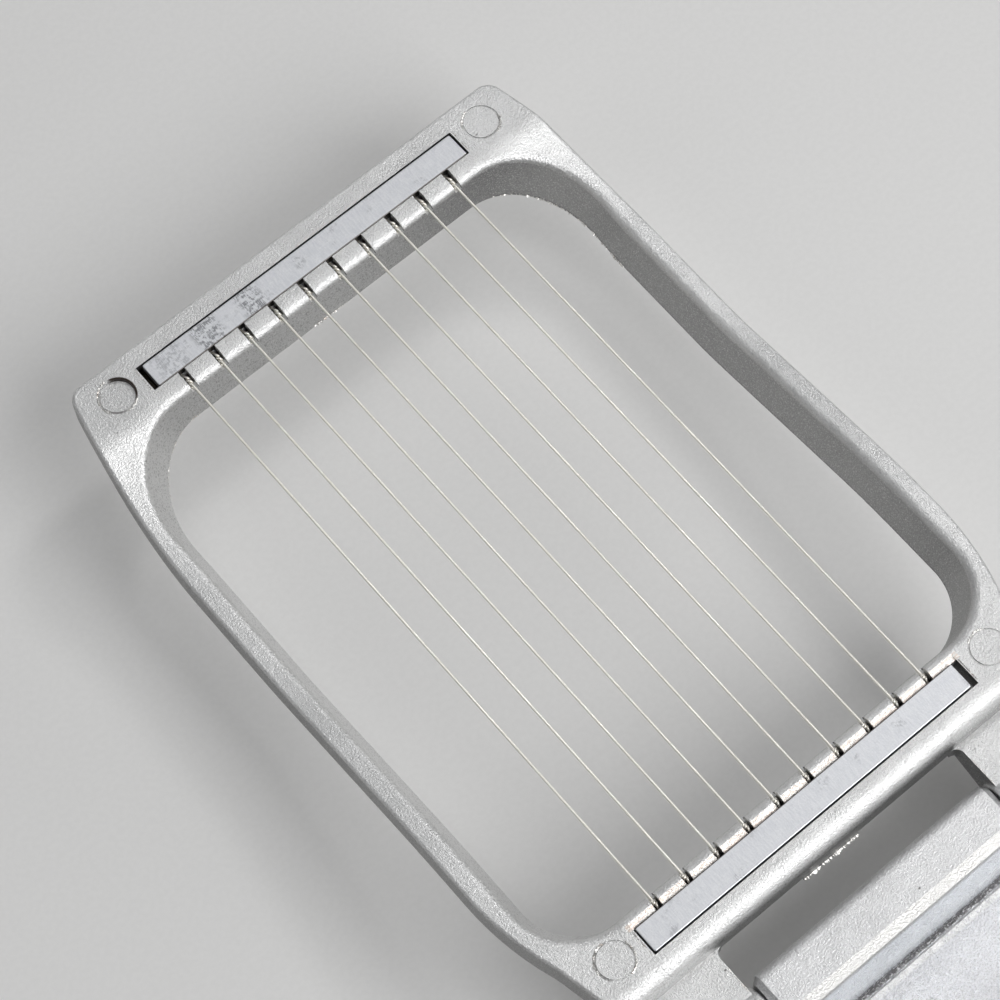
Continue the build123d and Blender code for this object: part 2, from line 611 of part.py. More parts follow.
def underside():
    """What is hollowed out under the floor, round the stiffening ribs."""
    foot = round_plan_corners(extrude(base_plan(), amount=1), BASE_FRONT)
    room = offset(foot.faces().sort_by(Axis.Z)[0], -SKIRT_THICKNESS, kind=Kind.INTERSECTION)
    room = extrude(room, amount=FLOOR_HEIGHT - PLATE_THICKNESS, dir=(0, 0, 1))
    cross_rib = Pos(0, 0, RIB_HEIGHT / 2) * Box(4 * RIB_X, RIB_THICKNESS, RIB_HEIGHT)
    long_rib = Pos(0, -BASE_FRONT / 2, RIB_HEIGHT / 2)
    long_rib = long_rib * Box(RIB_THICKNESS, 2 * BASE_FRONT, RIB_HEIGHT)
    for y in RIB_Y:
        room -= Pos(0, -y, 0) * cross_rib
    for x in (-RIB_X, RIB_X):
        room -= Pos(x, 0, 0) * long_rib
    return room


def base():
    """The whole standing casting: skirt, floor, stiffening ribs, block, stops and cradle."""
    body = extrude(base_plan(), amount=FLOOR_HEIGHT)
    body = round_plan_corners(body, BASE_FRONT)
    top_edges = body.faces().sort_by(Axis.Z)[-1].edges()
    body = fillet([e for e in top_edges if e.center().Y < BASE_REAR - 0.1], FLOOR_EDGE_RADIUS)
    body -= underside()
    body += hinge_block() + both_sides(stop()) + cradle()
    body = fillet(slot_edges(body), FIN_EDGE_RADIUS)
    bore_length = BLOCK_HALF_WIDTH + 1 - PIN_INNER_END
    bore = Rot(0, 90, 0) * Cylinder(PIN_RADIUS, bore_length)
    for side in (-1, 1):
        body -= Pos(side * (PIN_INNER_END + bore_length / 2), 0, HINGE_HEIGHT) * bore
    return body


# ---- the pieces ---------------------------------------------------------------------
save("base", base())
save("cutting_frame", cutting_frame())
save("front_clamp_bar", clamp_bar(FRONT_POCKET_INNER, 1, FRONT_BAR_SHIFT))
save("rear_clamp_bar", clamp_bar(REAR_POCKET_INNER, -1, REAR_BAR_SHIFT))
save("front_anchor_rod", anchor_rod(FRONT_POCKET_INNER, 1))
save("rear_anchor_rod", anchor_rod(REAR_POCKET_INNER, -1))
save("left_hinge_pin", hinge_pin(-1))
save("right_hinge_pin", hinge_pin(1))
one_wire = wire()
for number, wire_x in enumerate(WIRE_X, start=1):
    save(f"wire_{number:02d}", Pos(wire_x, 0, 0) * one_wire)
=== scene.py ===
import json
import math
import random

import bmesh
import bpy
from mathutils import Matrix, Vector
from mathutils.bvhtree import BVHTree

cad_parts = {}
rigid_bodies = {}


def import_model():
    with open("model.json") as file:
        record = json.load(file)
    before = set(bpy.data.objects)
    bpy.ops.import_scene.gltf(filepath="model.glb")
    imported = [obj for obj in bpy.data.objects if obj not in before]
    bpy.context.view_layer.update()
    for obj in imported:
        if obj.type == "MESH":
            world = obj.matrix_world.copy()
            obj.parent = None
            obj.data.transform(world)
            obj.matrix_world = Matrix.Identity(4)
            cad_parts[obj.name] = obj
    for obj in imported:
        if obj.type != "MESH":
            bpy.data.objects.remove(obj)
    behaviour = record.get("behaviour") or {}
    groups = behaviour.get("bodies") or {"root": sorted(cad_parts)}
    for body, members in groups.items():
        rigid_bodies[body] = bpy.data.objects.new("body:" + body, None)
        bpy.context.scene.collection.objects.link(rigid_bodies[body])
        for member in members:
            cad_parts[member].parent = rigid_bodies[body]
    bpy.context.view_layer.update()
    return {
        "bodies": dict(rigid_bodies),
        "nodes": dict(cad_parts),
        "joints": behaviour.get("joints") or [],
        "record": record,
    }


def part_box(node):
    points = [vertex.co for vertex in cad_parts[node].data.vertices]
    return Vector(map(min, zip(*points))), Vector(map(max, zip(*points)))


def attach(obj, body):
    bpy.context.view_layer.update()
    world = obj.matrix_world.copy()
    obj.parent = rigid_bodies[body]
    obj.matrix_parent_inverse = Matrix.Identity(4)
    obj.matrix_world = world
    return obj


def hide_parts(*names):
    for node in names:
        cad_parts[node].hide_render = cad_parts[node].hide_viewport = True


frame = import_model()
random.seed(7)

MM = 0.001
NODES = frame["nodes"]

# ---- places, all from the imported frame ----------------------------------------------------
FRONT_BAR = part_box("front_clamp_bar")
REAR_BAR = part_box("rear_clamp_bar")
BLOCK_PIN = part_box("right_hinge_pin")
PAD_Z = FRONT_BAR[1].z - 0.1 * MM
HINGE = (BLOCK_PIN[0] + BLOCK_PIN[1]) / 2
WIRES = sorted(name for name in NODES if name.startswith("wire_"))
WIRE_RADIUS = (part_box(WIRES[0])[1].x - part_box(WIRES[0])[0].x) / 2
WIRE_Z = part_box(WIRES[0])[1].z - WIRE_RADIUS
WIRE_X = {name: (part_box(name)[0].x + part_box(name)[1].x) / 2 for name in WIRES}

EJECTOR_EDGE = 2.5 * MM                     # radius of the four ejector marks
EJECTOR_X = 31.1 * MM
FAR_EJECTOR_Y = HINGE.y + 115.0 * MM
NEAR_EJECTOR_Y = HINGE.y + 15.3 * MM
TEETH_HALF_LENGTH = 27.5 * MM               # as far as the teeth reach to each side
POCKET_END_X = 27.15 * MM
BLOCK_HALF_WIDTH = 19.4 * MM                # the hinge block
BLOCK_CHAMFER = (HINGE.y - 4.05 * MM, HINGE.y - 2.6 * MM)
BLOCK_WALL = (HINGE.y - 6.2 * MM, HINGE.y - 4.1 * MM)
BLOCK_FOOT = (HINGE.y - 6.05 * MM, HINGE.y - 5.2 * MM)
FOOT_FLASH_Y = HINGE.y - 6.15 * MM
CREST_Y = HINGE.y - 6.5 * MM
LUG_LINE_Y = HINGE.y + 7.3 * MM


def surface_of(node):
    """A CAD node's faces, ready for ray casts."""
    mesh = NODES[node].data
    return BVHTree.FromPolygons([v.co for v in mesh.vertices], [p.vertices for p in mesh.polygons])


FRAME_SKIN = surface_of("cutting_frame")
BASE_SKIN = surface_of("base")


# ---- camera ---------------------------------------------------------------------------
def add_camera():
    """The view of the open slicer from above, from the hinge's left end."""
    azimuth, elevation, roll = math.radians(-36.05), math.radians(67.4), math.radians(-4.35)
    back = Vector((
        math.sin(azimuth) * math.cos(elevation),
        -math.cos(azimuth) * math.cos(elevation),
        math.sin(elevation),
    ))
    lens = bpy.data.cameras.new("camera")
    lens.lens = 117.7
    lens.sensor_width = 36
    lens.clip_start = 10 * MM
    camera = bpy.data.objects.new("camera", lens)
    turn = (-back).to_track_quat("-Z", "Y").to_matrix() @ Matrix.Rotation(roll, 3, "Z")
    camera.rotation_mode = "QUATERNION"
    camera.rotation_quaternion = turn.to_quaternion()
    camera.location = (-0.09796, -0.06061, 0.4101)
    bpy.context.scene.collection.objects.link(camera)
    bpy.context.scene.camera = camera


add_camera()


# ---- materials ------------------------------------------------------------------------
class Shader:
    """A Principled material with short calls that add procedural nodes to it."""

    def __init__(self, name, colour, metallic, roughness):
        self.material = bpy.data.materials.new(name)
        self.material.use_nodes = True
        self.tree = self.material.node_tree
        self.surface = self.tree.nodes["Principled BSDF"]
        self.surface.inputs["Base Color"].default_value = (*colour, 1)
        self.surface.inputs["Metallic"].default_value = metallic
        self.surface.inputs["Roughness"].default_value = roughness
        self.place = self.tree.nodes.new("ShaderNodeTexCoord").outputs["Object"]

    def put(self, value, socket):
        """Links an output to a socket, or sets the socket to a number or colour."""
        if isinstance(value, bpy.types.NodeSocket):
            self.tree.links.new(value, socket)
        else:
            socket.default_value = value

    def stretched(self, scale):
        """The object's coordinates, in metres, times a scale for each axis."""
        node = self.tree.nodes.new("ShaderNodeMapping")
        self.put(self.place, node.inputs["Vector"])
        node.inputs["Scale"].default_value = scale
        return node.outputs["Vector"]

    def noise(self, scale, detail=2.0, rough=0.5, vector=None):
        """Cloudy noise, about 0.2 to 0.8."""
        node = self.tree.nodes.new("ShaderNodeTexNoise")
        self.put(vector or self.place, node.inputs["Vector"])
        node.inputs["Scale"].default_value = scale
        node.inputs["Detail"].default_value = detail
        node.inputs["Roughness"].default_value = rough
        return node.outputs["Fac"]

    def cells(self, scale):
        """The distance to the middle of the nearest cell, in cells."""
        node = self.tree.nodes.new("ShaderNodeTexVoronoi")
        self.put(self.place, node.inputs["Vector"])
        node.inputs["Scale"].default_value = scale
        return node.outputs["Distance"]

    def spread(self, value, low, high, to_low=0.0, to_high=1.0):
        """Moves a value from the range low..high to another range, clamped and smooth."""
        node = self.tree.nodes.new("ShaderNodeMapRange")
        node.interpolation_type = "SMOOTHSTEP"
        self.put(value, node.inputs["Value"])
        ends = {"From Min": low, "From Max": high, "To Min": to_low, "To Max": to_high}
        for name, number in ends.items():
            node.inputs[name].default_value = number
        return node.outputs["Result"]

    def math(self, operation, a, b=0.0):
        """One arithmetic step on one or two values."""
        node = self.tree.nodes.new("ShaderNodeMath")
        node.operation = operation
        self.put(a, node.inputs[0])
        self.put(b, node.inputs[1])
        return node.outputs["Value"]

    def product(self, *values):
        """All the values multiplied together."""
        result = values[0]
        for value in values[1:]:
            result = self.math("MULTIPLY", result, value)
        return result

    def total(self, *values):
        """All the values added up."""
        result = values[0]
        for value in values[1:]:
            result = self.math("ADD", result, value)
        return result

    def blend(self, factor, first, second):
        """Goes from the first colour to the second as the factor goes from 0 to 1."""
        node = self.tree.nodes.new("ShaderNodeMix")
        node.data_type = "RGBA"
        self.put(factor, node.inputs["Factor"])
        for colour, socket in ((first, node.inputs["A"]), (second, node.inputs["B"])):
            self.put(colour if isinstance(colour, bpy.types.NodeSocket) else (*colour, 1), socket)
        return node.outputs["Result"]

    def facing(self, name):
        """How squarely the surface faces along an axis of the object, from -1 to 1."""
        node = self.tree.nodes.new("ShaderNodeTexCoord")
        part = self.tree.nodes.new("ShaderNodeSeparateXYZ")
        self.put(node.outputs["Normal"], part.inputs["Vector"])
        return part.outputs[name]

    def axis(self, name):
        """The place along one axis of the object, in metres."""
        node = self.tree.nodes.new("ShaderNodeSeparateXYZ")
        self.put(self.place, node.inputs["Vector"])
        return node.outputs[name]

    def within(self, axis, low, high, soft=0.1 * MM):
        """1 between two places along an axis, 0 outside them."""
        value = self.axis(axis)
        return self.product(
            self.spread(value, low - soft, low + soft), self.spread(value, high + soft, high - soft)
        )

    def bump(self, height, depth, after=None):
        """Raises the surface by height times depth, in metres, on top of an earlier bump."""
        node = self.tree.nodes.new("ShaderNodeBump")
        node.inputs["Distance"].default_value = depth
        self.put(height, node.inputs["Height"])
        if after:
            self.put(after, node.inputs["Normal"])
        return node.outputs["Normal"]

    def finish(self, colour=None, roughness=None, normal=None):
        """Links what is given to the shader and returns the material."""
        for value, socket in ((colour, "Base Color"), (roughness, "Roughness"), (normal, "Normal")):
            if value is not None:
                self.put(value, self.surface.inputs[socket])
        return self.material


def pocket_painted_shade(m):
    """Where near-black painted shade goes: deep in the bars' pockets and at the notches' inner ends."""
    level = m.axis("Z")
    length = m.within("X", -27.2 * MM, 26.4 * MM)
    deep = m.product(
        m.spread(level, PAD_Z - 0.45 * MM, PAD_Z - 1.5 * MM),
        m.spread(level, PAD_Z - 5.4 * MM, PAD_Z - 5.0 * MM),
    )
    front = m.within("Y", FRONT_BAR[0].y - 0.75 * MM, FRONT_BAR[1].y + 0.6 * MM)
    rear = m.within("Y", REAR_BAR[0].y - 0.6 * MM, REAR_BAR[1].y + 0.55 * MM)
    return m.product(deep, length, m.total(front, rear))


def teeth(m):
    """The upper part of the teeth between the wires, on both bars."""
    front = m.within("Y", FRONT_BAR[0].y - 2.7 * MM, FRONT_BAR[0].y)
    rear = m.within("Y", REAR_BAR[1].y, REAR_BAR[1].y + 1.9 * MM)
    upper = m.spread(m.axis("Z"), PAD_Z - 1.9 * MM, PAD_Z - 1.3 * MM)
    return m.product(m.total(front, rear), upper, m.within("X", -TEETH_HALF_LENGTH, TEETH_HALF_LENGTH))


def ring_painted_shade(m, x, y, facing, width=0.22 * MM):
    """Where painted shade goes in an ejector mark's edge: an arc, strongest towards one side."""
    east = m.math("SUBTRACT", m.axis("X"), x)
    north = m.math("SUBTRACT", m.axis("Y"), y)
    radius = m.math("SQRT", m.total(m.product(east, east), m.product(north, north)))
    line = m.spread(m.math("ABSOLUTE", m.math("SUBTRACT", radius, EJECTOR_EDGE)), width, 0.5 * width)
    side = m.total(m.product(east, math.cos(facing)), m.product(north, math.sin(facing)))
    uneven = m.noise(1 / (0.7 * MM), detail=2.0)
    reach = m.total(m.math("DIVIDE", side, EJECTOR_EDGE), m.product(uneven, 0.5))
    upper = m.spread(m.axis("Z"), PAD_Z - 1.2 * MM, PAD_Z - 0.8 * MM)
    return m.product(line, m.spread(reach, 0.45, 0.85), upper)


def painted_wall_shade(m, wall_shade_tones, speck, grain, across=False):
    """Painted shade on steep walls: a tone for those that face left, along the part, and right; with
    across, the tone along the part also runs from lighter to darker along X.
    """
    left, middle, right = [(tone,) * 3 for tone in wall_shade_tones]
    # Painted shade across the part: walls along it go from lighter near x = -5 mm to darker near x = 32 mm.
    if across:
        lighter = tuple(1.3 * c for c in middle)
        darker = tuple(0.5 * c for c in middle)
        middle = m.blend(m.spread(m.axis("X"), -5 * MM, 32 * MM), lighter, darker)
    # Painted shade by facing: walls that face -X get the dark left tone, those that face +X the light right
    # tone.
    skin = m.blend(m.spread(m.facing("X"), -0.9, 0.0), left, middle)
    skin = m.blend(m.spread(m.facing("X"), 0.1, 0.8), skin, right)
    skin = m.blend(m.product(m.spread(speck, 0.50, 0.72), 0.5), skin, (0.72, 0.72, 0.72))
    return m.blend(m.product(m.spread(grain, 0.50, 0.32), 0.6), skin, (0.10, 0.10, 0.10))


def mark_frame(m, colour):
    """Painted shade in the pockets and in the ejector marks' edges, and a painted cream highlight on the
    rear bevel.
    """
    # Near-black painted shade deep in the pockets and at the notches' inner ends.
    colour = m.blend(pocket_painted_shade(m), colour, (0.07, 0.06, 0.05))
    # Painted shade in arcs along the ejector marks' edges.
    for x, y, degrees, amount in (
        (-EJECTOR_X, FAR_EJECTOR_Y, 15, 1.0), (-EJECTOR_X, FAR_EJECTOR_Y, 190, 0.45),
        (-EJECTOR_X, FAR_EJECTOR_Y, -85, 0.35), (EJECTOR_X, FAR_EJECTOR_Y, -50, 0.25),
        (-EJECTOR_X, NEAR_EJECTOR_Y, 150, 0.55), (EJECTOR_X, NEAR_EJECTOR_Y, 150, 0.2),
    ):
        arc = ring_painted_shade(m, x, y, math.radians(degrees))
        colour = m.blend(m.product(arc, amount), colour, (0.05, 0.04, 0.035))
    # A painted cream highlight on the rear bevel, beside the rear bar.
    strip = m.product(
        m.within("Y", REAR_BAR[1].y, REAR_BAR[1].y + 0.95 * MM, 0.05 * MM),
        m.spread(m.axis("Z"), PAD_Z - 0.7 * MM, PAD_Z - 0.5 * MM),
        m.within("X", -TEETH_HALF_LENGTH, TEETH_HALF_LENGTH),
    )
    tone = m.noise(1.0, detail=2.0, vector=m.stretched((1 / (2.5 * MM), 1 / (0.2 * MM), 1 / MM)))
    cream = m.blend(m.spread(tone, 0.42, 0.60), (0.90, 0.87, 0.82), (0.88, 0.72, 0.62))
    return m.blend(m.product(strip, 0.7), colour, cream)


def block_wall(m):
    """The hinge block's smooth front wall."""
    return m.product(
        m.within("Y", *BLOCK_WALL),
        m.within("Z", 7.4 * MM, 16.6 * MM),
        m.within("X", -19.0 * MM, 19.0 * MM),
    )


def mark_base(m, colour, wall, floor_level, speck):
    """The block's wall with a painted bluish reflection, its cream chamfer, the pale floor, and at the
    block's foot a painted shade line and a painted highlight on the swelling.
    """
    block_width = m.within("X", -BLOCK_HALF_WIDTH, BLOCK_HALF_WIDTH)
    # A painted bluish reflection on the block's smooth front wall.
    streak = m.noise(1.0, detail=2.0, vector=m.stretched((1 / (6 * MM), 1 / MM, 1 / (0.35 * MM))))
    smooth = m.blend(m.spread(streak, 0.35, 0.65), (0.80, 0.83, 0.86), (0.86, 0.885, 0.91))
    colour = m.blend(wall, colour, smooth)
    chamfer = m.product(
        m.within("Y", *BLOCK_CHAMFER, 0.06 * MM),
        m.within("Z", 16.7 * MM, 18.1 * MM),
        block_width,
    )
    colour = m.blend(m.product(chamfer, 0.6), colour, (0.84, 0.83, 0.795))
    grainy = m.spread(speck, 0.35, 0.60, 0.2, 0.9)
    floor_tone = m.product(floor_level, grainy, m.spread(m.facing("Z"), 0.4, 0.9))
    colour = m.blend(floor_tone, colour, (0.97, 0.97, 1.0))
    ragged = m.noise(1 / (0.35 * MM), detail=3.0)
    # Painted shade: a ragged dark line where the block's wall meets the floor.
    foot = m.product(
        m.within("Y", *BLOCK_FOOT, 0.15 * MM),
        m.within("Z", 6.2 * MM, 8.0 * MM, 0.3 * MM),
        block_width,
        m.spread(ragged, 0.34, 0.52),
    )
    colour = m.blend(m.product(foot, 0.85), colour, (0.16, 0.155, 0.16))
    # A painted highlight along the low swelling beside the block's foot.
    crest = m.product(
        m.within("Y", CREST_Y - 0.8 * MM, CREST_Y + 0.1 * MM, 0.15 * MM),
        block_width,
        m.spread(m.facing("Z"), 0.2, 0.6),
        m.spread(ragged, 0.34, 0.44),
    )
    return m.blend(m.product(crest, 0.9), colour, (1.0, 1.0, 0.99))


def casting(name, tint, wall_shade_tones, grain_size, frame=False):
    """Die-cast, bead-blasted aluminium: sparkling grain, mottling, stray pits and dull patches, with
    painted shade on the steep walls and further painted shade and highlights from mark_frame and mark_base.
    """
    m = Shader(name, tint, 1.0, 0.36)
    grain = m.noise(1 / grain_size, detail=2.0, rough=0.6)
    fine = m.noise(2.3 / grain_size, detail=1.0)
    swell = m.noise(1 / (2.6 * MM), detail=1.0)
    cloud = m.noise(1 / (7 * MM), detail=3.0, rough=0.6)
    speck = m.noise(1 / (0.19 * MM), detail=1.0)
    pit_shape = m.spread(m.cells(1 / (2.4 * MM)), 0.035, 0.085, 1.0, 0.0)
    pit_choice = m.spread(m.noise(1 / (3.1 * MM), detail=0.0), 0.62, 0.68)
    pits = m.product(pit_shape, pit_choice)
    dull = tuple(0.90 * c for c in tint)
    colour = m.blend(m.spread(cloud, 0.35, 0.65), dull, tint)
    colour = m.blend(m.product(m.spread(speck, 0.60, 0.74), 0.45), colour, (0.98, 0.98, 0.97))
    colour = m.blend(m.product(m.spread(speck, 0.42, 0.28), 0.40), colour, (0.50, 0.50, 0.50))
    colour = m.blend(m.product(m.spread(grain, 0.42, 0.28), 0.35), colour, (0.46, 0.46, 0.46))
    colour = m.blend(m.product(pits, 0.75), colour, (0.16, 0.155, 0.15))
    # Steep walls, except on the teeth, take painted shade that depends on which way they face.
    steep = m.spread(m.math("ABSOLUTE", m.facing("Z")), 0.90, 0.10)
    if frame:
        steep = m.product(steep, m.math("SUBTRACT", 1.0, teeth(m)))
    skin = painted_wall_shade(m, wall_shade_tones, speck, grain, across=frame)
    colour = m.blend(m.product(steep, 0.85), colour, skin)
    roughness = m.total(m.spread(cloud, 0.3, 0.7, 0.33, 0.41), m.spread(grain, 0.3, 0.7, -0.05, 0.05))
    if frame:
        colour = mark_frame(m, colour)
        relief = 1.0
    else:
        wall = block_wall(m)
        floor_level = m.spread(m.axis("Z"), 7.2 * MM, 6.9 * MM)
        colour = mark_base(m, colour, wall, floor_level, speck)
        roughness = m.math("SUBTRACT", roughness, m.product(wall, 0.10))
        relief = m.math("SUBTRACT", m.total(1.0, m.product(floor_level, 0.9)), m.product(wall, 0.85))
    normal = m.bump(m.product(swell, relief), 0.020 * MM)
    normal = m.bump(m.product(grain, relief), 0.40 * grain_size, normal)
    normal = m.bump(m.product(fine, relief), 0.15 * grain_size, normal)
    normal = m.bump(m.product(pits, -1.0), 0.05 * MM, normal)
    return m.finish(colour, roughness, normal)


def clamp_bar_metal():
    """Flat drawn aluminium bar: bluish, brushed, with press marks, dark smudges and a painted shade line
    along its inner edge.
    """
    m = Shader("clamp_bar_metal", (0.74, 0.76, 0.80), 1.0, 0.34)
    crosswise = m.stretched((1 / (0.30 * MM), 1 / (1.6 * MM), 1 / MM))
    across = m.noise(1.0, detail=3.0, rough=0.6, vector=crosswise)
    along = m.noise(1.0, detail=2.0, vector=m.stretched((1 / (9 * MM), 1 / (0.14 * MM), 1 / MM)))
    cloud = m.noise(1 / (3.5 * MM), detail=3.0, rough=0.6)
    blotchy = m.stretched((1 / (0.9 * MM), 1 / (0.7 * MM), 1 / MM))
    smear = m.noise(1.0, detail=4.0, rough=0.65, vector=blotchy)
    dust = m.noise(1 / (0.25 * MM), detail=2.0, rough=0.6)
    ticks = m.noise(1.0, detail=2.0, vector=m.stretched((1 / (0.12 * MM), 1 / (0.8 * MM), 1 / MM)))
    front = m.spread(m.axis("Y"), 60 * MM, 61 * MM)
    patches = m.total(
        m.within("X", -18.5 * MM, -14.5 * MM, 0.8 * MM),
        m.within("X", -11.0 * MM, -7.5 * MM, 0.8 * MM),
        m.product(m.within("X", -25 * MM, -20.5 * MM, 0.8 * MM), 0.5),
    )
    stray = m.product(m.spread(cloud, 0.56, 0.68), 0.5)
    where = m.math("MAXIMUM", m.product(front, patches), stray)
    smudge = m.product(m.spread(m.product(smear, m.total(ticks, 0.5)), 0.44, 0.60), where)
    colour = m.blend(m.spread(across, 0.32, 0.68), (0.765, 0.78, 0.815), (0.86, 0.87, 0.895))
    colour = m.blend(m.product(m.spread(dust, 0.35, 0.65), 0.35), colour, (0.70, 0.71, 0.735))
    colour = m.blend(m.product(m.spread(along, 0.58, 0.78), 0.35), colour, (0.93, 0.94, 0.96))
    colour = m.blend(m.product(smudge, 0.85), colour, (0.26, 0.265, 0.28))
    # Painted shade: a dark line along each bar's inner edge, over its lit fillet.
    painted_edge_shade = m.total(
        m.within("Y", FRONT_BAR[0].y - 0.3 * MM, FRONT_BAR[0].y + 0.13 * MM, 0.03 * MM),
        m.within("Y", REAR_BAR[1].y - 0.13 * MM, REAR_BAR[1].y + 0.3 * MM, 0.03 * MM),
    )
    colour = m.blend(m.product(painted_edge_shade, 0.9), colour, (0.09, 0.08, 0.07))
    roughness = m.total(m.spread(dust, 0.3, 0.7, 0.31, 0.39), m.product(smudge, 0.12))
    normal = m.bump(across, 0.012 * MM)
    normal = m.bump(along, 0.006 * MM, normal)
    normal = m.bump(dust, 0.018 * MM, normal)
    normal = m.bump(cloud, 0.03 * MM, normal)
    return m.finish(colour, roughness, normal)


def drawn_steel(name, tint, along, roughness, contrast=0.14):
    """Drawn or ground steel with fine lines that run along an axis."""
    m = Shader(name, tint, 1.0, roughness)
    scale = [1 / (0.07 * MM)] * 3
    scale["XYZ".index(along)] = 1 / (6 * MM)
    lines = m.noise(1.0, detail=2.0, vector=m.stretched(scale))
    cloud = m.noise(1 / (2.0 * MM), detail=2.0)
    dark = tuple((1 - contrast) * c for c in tint)
    bright = tuple(min(1.0, 1.05 * c) for c in tint)
    colour = m.blend(m.spread(lines, 0.35, 0.65), dark, tint)
    colour = m.blend(m.spread(cloud, 0.45, 0.75), colour, bright)
    rough = m.total(m.spread(lines, 0.3, 0.7, roughness - 0.06, roughness + 0.06), m.product(cloud, 0.05))
    return m.finish(colour, rough, m.bump(lines, 0.04 * contrast * MM))


def raw_edge_metal():
    """Freshly torn casting skin on flash and burrs: bright and slightly uneven."""
    m = Shader("raw_edge_metal", (0.90, 0.89, 0.86), 1.0, 0.30)
    crumbs = m.noise(1 / (0.12 * MM), detail=2.0)
    stain = m.noise(1 / (1.3 * MM), detail=2.0)
    colour = m.blend(m.spread(crumbs, 0.35, 0.6), (0.62, 0.60, 0.57), (0.95, 0.94, 0.91))
    colour = m.blend(m.product(m.spread(stain, 0.55, 0.7), 0.5), colour, (0.62, 0.50, 0.42))
    return m.finish(colour, m.spread(crumbs, 0.3, 0.7, 0.24, 0.42), m.bump(crumbs, 0.02 * MM))


# The three tones after each tint are the painted shade for steep walls facing left, along the part, and
# right.
FRAME_CASTING = casting("frame_casting", (0.835, 0.835, 0.83), (0.16, 0.38, 0.80), 0.27 * MM, frame=True)
BASE_CASTING = casting("base_casting", (0.86, 0.86, 0.865), (0.45, 0.60, 0.75), 0.28 * MM)
BAR_METAL = clamp_bar_metal()
WIRE_METAL = drawn_steel("wire_metal", (0.99, 0.955, 0.88), "Y", 0.32, contrast=0.03)
ROD_METAL = drawn_steel("rod_metal", (0.58, 0.58, 0.59), "X", 0.34)
PIN_METAL = drawn_steel("pin_metal", (0.66, 0.66, 0.67), "X", 0.28)
RAW_METAL = raw_edge_metal()

FINISHES = {
    "base": BASE_CASTING, "cutting_frame": FRAME_CASTING,
    "front_clamp_bar": BAR_METAL, "rear_clamp_bar": BAR_METAL,
    "front_anchor_rod": ROD_METAL, "rear_anchor_rod": ROD_METAL,
    "left_hinge_pin": PIN_METAL, "right_hinge_pin": PIN_METAL,
    **{name: WIRE_METAL for name in WIRES},
}


def finish_cad_nodes():
    """Gives every carried-over CAD node its material."""
    for name, node in NODES.items():
        node.data.materials.clear()
        node.data.materials.append(FINISHES[name])


finish_cad_nodes()


# ---- mesh helpers ---------------------------------------------------------------------
def add_piece(name, mesh_data, material, body, smooth=False):
    """Turns a bmesh into a piece that rides on a body."""
    mesh = bpy.data.meshes.new(name)
    bmesh.ops.recalc_face_normals(mesh_data, faces=mesh_data.faces)
    mesh_data.to_mesh(mesh)
    mesh_data.free()
    mesh.materials.append(material)
    mesh.polygons.foreach_set("use_smooth", [smooth] * len(mesh.polygons))
    piece = bpy.data.objects.new(name, mesh)
    bpy.context.scene.collection.objects.link(piece)
    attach(piece, body)
    return piece


def heading(path, i):
    """The direction in which a path runs at its point i."""
    return (path[min(i + 1, len(path) - 1)] - path[max(i - 1, 0)]).normalized()


def add_tube(bm, path, radius, sides=12):
    """A round strand along a list of points, with rounded tips."""
    side = heading(path, 0).orthogonal().normalized()
    rings = []
    for i, point in enumerate(path):
        tangent = heading(path, i)
        side = (side - tangent * side.dot(tangent)).normalized()
        other = tangent.cross(side)
        tip = min(i, len(path) - 1 - i)
        size = radius * (0.6, 0.9)[tip] if tip < 2 else radius
        ring = []
        for k in range(sides):
            angle = 2 * math.pi * k / sides
            ring.append(bm.verts.new(point + size * (math.cos(angle) * side + math.sin(angle) * other)))
        rings.append(ring)
    for first, second in zip(rings, rings[1:]):
        for k in range(sides):
            bm.faces.new((first[k], first[(k + 1) % sides], second[(k + 1) % sides], second[k]))
    bm.faces.new(reversed(rings[0]))
    bm.faces.new(rings[-1])


def add_sliver_faces(bm, rows):
    """Closes a long three-sided sliver whose corners are given row by row."""
    for first, second in zip(rows, rows[1:]):
        for k in range(3):
            bm.faces.new((first[k], first[(k + 1) % 3], second[(k + 1) % 3], second[k]))
    bm.faces.new(rows[0])
    bm.faces.new(reversed(rows[-1]))


def add_burr(bm, path, grow, width, height, coverage=0.7, sink=0.04 * MM):
    """A ragged sliver of metal along a path; it grows out of the surface by up to height."""
    ridge = []
    level = 0.0
    for _ in path:
        target = height * random.uniform(0.25, 1.0) if random.random() < coverage else -sink
        level = 0.35 * level + 0.65 * target
        ridge.append(level)
    rows = []
    for i, (point, rise) in enumerate(zip(path, ridge)):
        tangent = heading(path, i)
        out = grow[i] if isinstance(grow, list) else grow
        side = tangent.cross(out).normalized()
        spread = width * random.uniform(0.7, 1.2) / 2
        lean = side * random.uniform(-0.3, 0.3) * width
        tip = point + out * rise + lean if 0 < i < len(path) - 1 else point - out * sink
        rows.append([
            bm.verts.new(point - side * spread - out * sink),
            bm.verts.new(tip),
            bm.verts.new(point + side * spread - out * sink),
        ])
    add_sliver_faces(bm, rows)


def add_swelling(bm, path, across, reach, height):
    """A low ridge along a path: steep on one side, and sloping away on the other as far as reach."""
    sink = Vector((0, 0, 0.05 * MM))
    rows = []
    for point in path:
        slope = across * reach * random.uniform(0.85, 1.15)
        top = Vector((0, 0, height * random.uniform(0.92, 1.0)))
        rows.append([
            bm.verts.new(point - 0.4 * slope - sink),
            bm.verts.new(point + top),
            bm.verts.new(point + slope - sink),
        ])
    add_sliver_faces(bm, rows)


